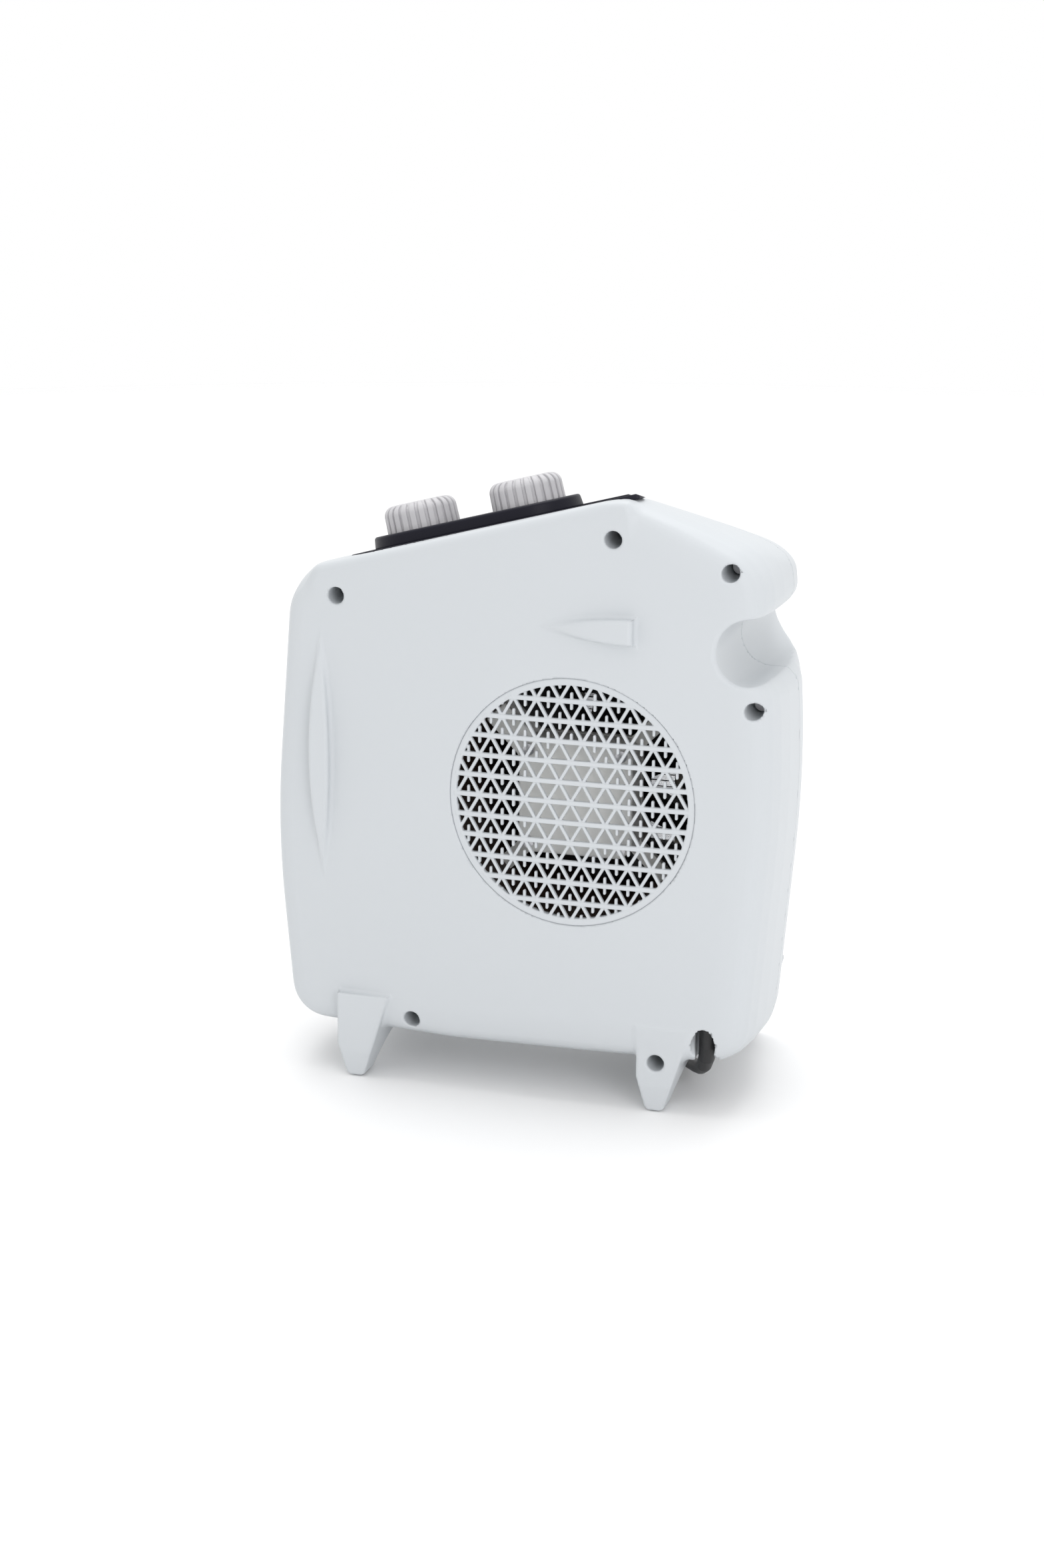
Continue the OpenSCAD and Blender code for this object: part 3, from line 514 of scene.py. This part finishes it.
def leg_side(reach):
    """Side view of a leg: upright outside, and a concave sweep up to the case inside."""
    sweep = [(15 + t, (LEG_H + 1)*(1 - np.exp(-t/9))) for t in range(0, int(reach) - 14, 4)]
    return [(1.2, 40), (1.2, 12), (2.4, 0)] + sweep + [(reach, LEG_H + 1), (reach, 40)]


def legs(p, spots, out, reach):
    low = np.flatnonzero(p[:, 2] < 56)
    f = np.full(len(p), 30.0, np.float32)
    if len(low):
        u, z = -p[low, 0], p[low, 2]
        side = polygon_distance(out[low], z, leg_side(reach))
        for spot in spots:
            leg = rounded_max(polygon_distance(u - spot, z, LEG_VIEW), side, 1.2)
            f[low] = np.minimum(f[low], leg)
    return f


def lens(x, y, length, width):
    """A pointed lens, length along y."""
    r = (length*length + width*width)/(4*width)
    return np.maximum(np.hypot(x - r + width/2, y), np.hypot(x + r - width/2, y)) - r


def bowed(along, out, length, height, base):
    bow = (length*length/4 + height*height)/(2*height)
    return np.hypot(along, out - base - height + bow) - bow


def grip(p):
    u, z = -p[:, 0] - GRIP_AT[0], p[:, 2] - GRIP_AT[1]
    return np.where(u < 0, np.hypot(u, z), np.abs(z)) - GRIP_R


PANEL_T = 2


def panel_outline(x, y):
    """The panel runs from the ridge to two round corners at its low end."""
    return box_distance(x + 16, y + 6, 70, 40, np.where(x > -16, 16, 1.5))


def holes(p, f):
    """Cuts the grip, the screw recesses, the air way, the cord hole and the panel pocket."""
    u, z, d = -p[:, 0], p[:, 2], BACK_Y - p[:, 1]
    lip = 2.2 + 6*smooth((u - GRIP_AT[0] - 1)/9)
    f = rounded_max(f, -grip(p), lip)
    for su, sz in SCREWS:
        recess = np.maximum(np.hypot(u - su, z - sz) - RECESS_R, d - RECESS_FLOOR)
        f = rounded_max(f, -recess, 1.0)
    f = rounded_max(f, RIM_R - np.hypot(u - FAN_U, z - FAN_Z), 0.5)
    q = p - GLAND_AT.astype(np.float32)
    along = -sin(HOLE_TILT)*(q[:, 1] - 1.2) + cos(HOLE_TILT)*q[:, 2]
    across = cos(HOLE_TILT)*(q[:, 1] - 1.2) + sin(HOLE_TILT)*q[:, 2]
    hole = np.maximum(np.hypot(q[:, 0] - 1, across) - GLAND_R, np.abs(along + 5) - 11)
    way = np.maximum(np.hypot(q[:, 0], q[:, 1]) - GLAND_R, np.abs(q[:, 2] - 6) - 20)
    share = np.clip((1 - q[:, 1])/(SLOT_RUN + 1), 0, 1)
    slot = np.hypot(q[:, 0] - 0.6 - 2.4*share, q[:, 1] - 1 + (SLOT_RUN + 1)*share) - SLOT_W/2
    slot = np.maximum(slot, np.abs(p[:, 2] - LEG_H - 7) - 11)
    f = rounded_max(f, -rounded_min(rounded_min(hole, way, 1), slot, 1.2), 0.7)
    top = on_top(p)
    pocket = np.maximum(panel_outline(top[:, 0], top[:, 1]), -PANEL_T - top[:, 2])
    return rounded_max(f, -pocket, 0.3)


def rear_shape(p):
    u, z, d = -p[:, 0], p[:, 2], BACK_Y - p[:, 1]
    f = rounded_min(case_body(p), legs(p, REAR_LEGS, d, SEAM_D), LEG_BLEND)
    spacer_z = z - FAN_Z - 11
    spacer = rounded_max(lens(u + HALF_W - 28, spacer_z, SPACER_LONG, SPACER_WIDE),
                         bowed(spacer_z, -d, SPACER_LONG, SPACER_OUT, -6.4), 1.5)
    f = rounded_min(f, np.maximum(spacer, d - 12), 2.0)
    ledge_u = u - FAN_U - 28
    half = np.maximum(lens(z - FAN_Z - 78, ledge_u, LEDGE_LONG, LEDGE_WIDE), ledge_u)
    ledge = rounded_max(half, bowed(ledge_u, -d, LEDGE_LONG, LEDGE_OUT, 0), 2.2)
    f = rounded_min(f, np.maximum(ledge, d - 4), 2.0)
    return rounded_max(holes(p, f), SEAM_Y + SEAM_GAP - p[:, 1], SEAM_EDGE)


def front_shape(p):
    out = p[:, 1] - FRONT_Y
    f = rounded_min(case_body(p), legs(p, FRONT_LEGS, out, DEPTH - SEAM_D), LEG_BLEND)
    return rounded_max(holes(p, f), p[:, 1] - SEAM_Y + SEAM_GAP, SEAM_EDGE)


STEP = 1.0
FINE = 0.5
add_shape("rear_case", rear_shape, CASE_LOW - 3, CASE_HIGH + 3, STEP, "case", "case_white",
          "rear_shell")
add_shape("front_case", front_shape, FRONT_LOW - 3, FRONT_HIGH + 3, 1.4*STEP, "case",
          "case_white", "front_shell")

# ---- grilles and motor cover -----------------------------------------------------

PITCH = 10.5
ROW_H = PITCH*sqrt(3)/2
OPEN_R = RIM_R - 3.1
CALM_R = 24
DUCT_D = 3.75
GRILLE_T = 2.4
BAR_HALF, SLANT_HALF, STUB_HALF, STUB_H = 1.05, 0.72, 0.65, 3.3
OUTLET_ROWS, OUTLET_POSTS = 7, 26
COVER_D, BRACKET_D, COVER_W, COVER_CUT = 8, 24, 52, 5
ARM_W = 12


def in_fan(p):
    """Across, up and depth from the middle of the back's air hole."""
    return -p[:, 0] - FAN_U, p[:, 2] - FAN_Z, BACK_Y - p[:, 1]


def between(d, low, high):
    return np.abs(d - (low + high)/2) - (high - low)/2


def to_nearest(v, pitch):
    return np.abs(v - pitch*np.round(v/pitch))


def rim(radius, d, low, high):
    return rounded_max(between(radius, OPEN_R, RIM_R + 0.04), between(d, low, high), 0.7)


def intake_shape(p):
    x, y, d = in_fan(p)
    radius = np.hypot(x, y)
    deep = d - crown(-p[:, 0]) - 0.35
    row = np.round(y/ROW_H)
    off = y - row*ROW_H
    level = rounded_max(np.abs(off) - BAR_HALF, between(deep, 0, GRILLE_T), 0.5)
    across = np.minimum(to_nearest(x*sin(pi/3) - y/2, ROW_H), to_nearest(x*sin(pi/3) + y/2, ROW_H))
    slanted = rounded_max(across - SLANT_HALF, between(deep, 0.45, GRILLE_T), 0.4)
    shift = 0.5 + (np.abs(row) % 2)/2
    middle = (np.round(x/PITCH - shift) + shift)*PITCH
    stub = np.hypot(x - middle, np.maximum(np.abs(off) - STUB_H, 0)) - STUB_HALF
    calm = np.hypot(middle, row*ROW_H + 4*np.sign(off)) < CALM_R
    stub = rounded_max(np.where(calm, 2, stub), between(deep, 0.8, GRILLE_T), 0.35)
    f = rounded_min(rounded_min(level, slanted, 0.3), stub, 0.3)
    f = np.maximum(f, radius - OPEN_R - 1)
    return np.maximum(rounded_min(f, rim(radius, deep, 0, 4), 0.4), d - DUCT_D)


def outlet_shape(p):
    x, y, d = in_fan(p)
    radius = np.hypot(x, y)
    rows = np.where(np.abs(y) < 52, to_nearest(y, OUTLET_ROWS), 9)
    posts = np.where(np.abs(x) < 1.5*OUTLET_POSTS, to_nearest(x, OUTLET_POSTS), 9)
    f = rounded_max(rows - 1, between(d, DEPTH - 4, DEPTH - 0.5), 0.6)
    post = rounded_max(posts - 1.2, between(d, DEPTH - 4, DEPTH - 0.9), 0.6)
    f = np.maximum(rounded_min(f, post, 0.4), radius - OPEN_R - 1)
    return rounded_min(f, rim(radius, d, DEPTH - 4, DEPTH - 0.5), 0.4)


def cut_square(x, y, side):
    x, y = np.abs(x), np.abs(y)
    corner = (x + y - side + COVER_CUT)/sqrt(2)
    return rounded_max(np.maximum(x, y) - side/2, corner, 1.5)


def cover_shape(p):
    x, y, d = in_fan(p)
    f = rounded_max(cut_square(x, y, COVER_W), between(d, COVER_D, BRACKET_D - 0.05), 1.3)
    f = np.maximum(f, -np.maximum(cut_square(x, y, COVER_W - 4), COVER_D + 2 - d))
    along, aside = (y - x)/sqrt(2), (x + y)/sqrt(2)
    arm = rounded_max(np.maximum(np.abs(aside) - ARM_W/2, np.abs(along - 42) - 20),
                      between(d, COVER_D + 0.3, COVER_D + 2.6), 0.9)
    return rounded_min(f, np.maximum(arm, np.hypot(x, y) - OPEN_R + 0.2), 1.2)


def around_fan(reach, near, far):
    """Corners of a box about the fan axis, between two depths."""
    return ((-FAN_U - reach, BACK_Y - far, FAN_Z - reach),
            (-FAN_U + reach, BACK_Y - near, FAN_Z + reach))


add_shape("back_lattice", intake_shape, *around_fan(RIM_R + 1, -1, 5), FINE, "case",
          "case_white", "intake_grille")
add_shape("front_bars", outlet_shape, *around_fan(RIM_R + 1, DEPTH - 5, DEPTH + 0.5),
          1.3*FINE, "case", "outlet_black", "outlet_grille")
add_shape("white_cover", cover_shape, *around_fan(RIM_R, COVER_D - 1, BRACKET_D + 1), 1.4*FINE,
          "case", "inner_white", "motor_cover")

# ---- controls on the sloping top -------------------------------------------------

KNOB_SIDE = 25.5
KNOB_R, KNOB_H, KNOB_Z = 16.5, 13, 4.7
FLUTES, FLUTE_W, FLUTE_DEEP = 24, 1.45, 1.2
PLATE_R, PLATE_H, PLATE_SUNK = 23.5, 5.5, 0.4
RECESS_Z, DIAL_R = 4.3, 18
DASH_PITCH, DASH_ROW, DASH_H = 4.4, 1.9, 0.5
SHEET_DOWN = 0.8


def knob_shape(side):
    def shape(p):
        q = on_top(p)
        x, y, z = q[:, 0] - side*KNOB_SIDE, q[:, 1], q[:, 2] - KNOB_Z
        radius = np.hypot(x, y)
        f = rounded_max(radius - KNOB_R + 0.02*z, z - KNOB_H + 0.002*radius*radius, 4.2)
        turn = np.arctan2(y, x)*FLUTES/(2*pi)
        aside = np.abs(turn - np.round(turn))*2*pi/FLUTES*radius
        depth = FLUTE_DEEP*smooth((radius - 10.8)/3)
        flute = np.maximum(aside - FLUTE_W/2, -f - depth)
        return rounded_max(rounded_max(f, -flute, 0.5), -z, 0.3)
    return shape


def plate_shape(p):
    x, y, z = on_top(p).T
    f = np.hypot(np.maximum(np.abs(x) - KNOB_SIDE, 0), y) - PLATE_R + 0.14*z
    f = rounded_max(f, between(z, -PLATE_SUNK, PLATE_H), 1.2)
    dial = np.maximum(np.hypot(np.abs(x) - KNOB_SIDE, y) - DIAL_R, RECESS_Z - z)
    return rounded_max(f, -dial, 0.35)


def panel_shape(p):
    x, y, z = on_top(p).T
    row = np.round(y/DASH_ROW)
    shift = (np.abs(row) % 2)/2
    dx = (x/DASH_PITCH - shift - np.round(x/DASH_PITCH - shift))*DASH_PITCH/1.7
    dy = (y - row*DASH_ROW)/0.8
    dash = DASH_H*np.sqrt(np.maximum(1 - dx*dx - dy*dy, 0))
    edge = panel_outline(x, y) + 0.12
    f = rounded_max(np.maximum(z + SHEET_DOWN - dash*(edge < -2.5), -PANEL_T - z), edge, 0.2)
    border = rounded_max(np.maximum(-edge - 2.2, edge), between(z, -PANEL_T, 0.3), 0.5)
    f = rounded_min(f, border, 0.4)
    return np.maximum(f, (p - SHOULDER_AT) @ SHOULDER_UP)


def about_top(side, reach_x, reach_y, low, high):
    """Corners of a box that holds a box drawn in the frame of the sloping top."""
    ends = np.array([(side + i*reach_x, j*reach_y, k) for i in (-1, 1) for j in (-1, 1)
                     for k in (low, high)])
    ends = ends @ TOP_AXES.T + TOP_AT
    return ends.min(0), ends.max(0)


for side, node, body in ((1, "thermostat_knob", "thermostat"), (-1, "selector_knob", "selector")):
    add_shape("fluted_" + node, knob_shape(side),
              *about_top(side*KNOB_SIDE, 18, 18, KNOB_Z - 1, KNOB_Z + KNOB_H + 1),
              0.9*FINE, body, "knob_grey", node)
add_shape("oval_plate", plate_shape, *about_top(0, 50, 25, -1, PLATE_H + 1), FINE, "case",
          "plate_black", "control_plate")
add_shape("ribbed_panel", panel_shape, *about_top(-16, 71, 47, -2.5, 1), 0.9*FINE, "case",
          "panel_black", "top_panel")

# ---- boot, tie and plug ----------------------------------------------------------

PLUG_AT = np.array([85, -126, 13.5])
PLUG_SIDE = [(-2, 0), (-2, 4.4), (12, 6.2), (17, 9.4), (22, 12), (33.2, 12.2), (33.2, 0)]
TIE_W, TIE_TURN = 5, radians(-60)
PLUG_SKIN, RIB_PITCH, DENTS = 0.75, 2.8, 10
BOOT_R, BOOT_TAPER = 4.3, 0.3


def plug_shape(p):
    x, along, z = (p - PLUG_AT.astype(np.float32)).T
    radius = np.hypot(x, z)
    f = polygon_distance(along, radius, PLUG_SIDE) - PLUG_SKIN
    ring = np.maximum(to_nearest(along - 2, RIB_PITCH) - 0.55, np.abs(along - 5) - 5.5)
    f = rounded_max(f, -np.maximum(ring, -f - 0.8), 0.3)
    turn = np.arctan2(z, x)*DENTS/(2*pi)
    aside = np.abs(turn - np.round(turn))*2*pi/DENTS*radius
    dent = np.maximum(np.hypot(aside, np.maximum(np.abs(along - 27.5) - 3, 0)) - 1.6, -f - 0.7)
    return rounded_max(f, -dent, 0.4)


def tie_shape(p):
    """A strap round the six leads of the coil, with its tail laid over itself."""
    x, y = p[:, 0] - COIL[0], p[:, 1] - COIL[1]
    out = x*cos(TIE_TURN) + y*sin(TIE_TURN) - COIL_R
    aside = y*cos(TIE_TURN) - x*sin(TIE_TURN)
    up = p[:, 2] - COIL_Z - COIL_GAP/2
    loop = np.abs(box_distance(out, up, COIL_GAP + CORD_D/2 + 0.25, CORD_D + 0.22, 3)) - 0.14
    tail = np.maximum(box_distance(out - 3, up - CORD_D - 0.85, 4.5, 0.45, 0.4), 0 - up)
    return rounded_max(np.minimum(loop, tail), np.abs(aside) - TIE_W/2, 0.12)


def boot_shape(p):
    """A tapered strain relief moulded round the lead where it leaves the gland."""
    route = np.array([CORD_START] + LEAD[:4], np.float32)
    best = np.full(len(p), 99, np.float32)
    for k, (a, b) in enumerate(zip(route, route[1:])):
        t = np.clip((p - a) @ (b - a)/((b - a) @ (b - a)), 0, 1)
        radius = BOOT_R - BOOT_TAPER*(k + t)
        best = np.minimum(best, np.linalg.norm(p - a - t[:, None]*(b - a), axis=1) - radius)
    return rounded_max(best, p[:, 2] - CORD_START[2], 0.3)


PLUG = add_shape("moulded_plug", plug_shape, PLUG_AT + (-14, -3, -14), PLUG_AT + (14, 35, 14),
                 1.2*FINE, "case", "cord_black", "plug_body")
TIE_AT = np.array([COIL[0] + COIL_R*cos(TIE_TURN), COIL[1] + COIL_R*sin(TIE_TURN), COIL_Z])
add_shape("coil_tie", tie_shape, TIE_AT - (13, 13, 4.5), TIE_AT + (13, 13, 12),
                0.4, "case", "cord_black")
ROUTE_BOX = np.array([CORD_START] + LEAD[:4])
add_shape("strain_relief", boot_shape, ROUTE_BOX.min(0) - 6, ROUTE_BOX.max(0) + 6, FINE, "case",
          "cord_black")

# ---- softened edges on the pieces that stay as drawn -----------------------------


def soften(node, width):
    """Rounds the sharp edges a little."""
    obj = frame["nodes"][node]
    bevel = obj.modifiers.new("soft_edges", "BEVEL")
    bevel.width = width*MM
    bevel.segments = 2
    bevel.limit_method = "ANGLE"
    bevel.angle_limit = radians(40)
    bevel.harden_normals = True


for node in ("fan_impeller", "air_duct", "plug_pins", "case_screws", "motor_bracket"):
    soften(node, 0.3)

# ---- stage -----------------------------------------------------------------------


def add_floor():
    mesh = bpy.data.meshes.new("floor")
    reach, sides = 2.6, 96
    turns = [2*pi*k/sides for k in range(sides)]
    mesh.from_pydata([(reach*cos(a), reach*sin(a), 0) for a in turns], [], [list(range(sides))])
    obj = bpy.data.objects.new("floor", mesh)
    obj.location.z = -0.0002
    bpy.context.scene.collection.objects.link(obj)
    obj.data.materials.append(
        new_material("floor", (0.90, 0.90, 0.90), 0.6, 0.05, 300, 0.004, 0.02))


def add_light(name, place, size, power, color=(1, 1, 1)):
    data = bpy.data.lights.new(name, "AREA")
    data.size = size
    data.energy = power
    data.color = color
    obj = bpy.data.objects.new(name, data)
    obj.location = place
    obj.rotation_euler = (FAN - Vector(place)).to_track_quat("-Z", "Y").to_euler()
    bpy.context.scene.collection.objects.link(obj)


def add_studio():
    add_floor()
    add_light("side", (-1.3, 1.6, 0.8), 0.9, 9, (0.98, 0.97, 1.0))
    add_light("top", (0.1, -0.5, 2.2), 1.8, 24)
    world = bpy.data.worlds.new("studio")
    world.use_nodes = True
    sky = world.node_tree.nodes["Background"]
    sky.inputs["Color"].default_value = (1, 1, 1, 1)
    sky.inputs["Strength"].default_value = 1.0
    bpy.context.scene.world = world
    bpy.context.scene.view_settings.view_transform = "Standard"


add_studio()
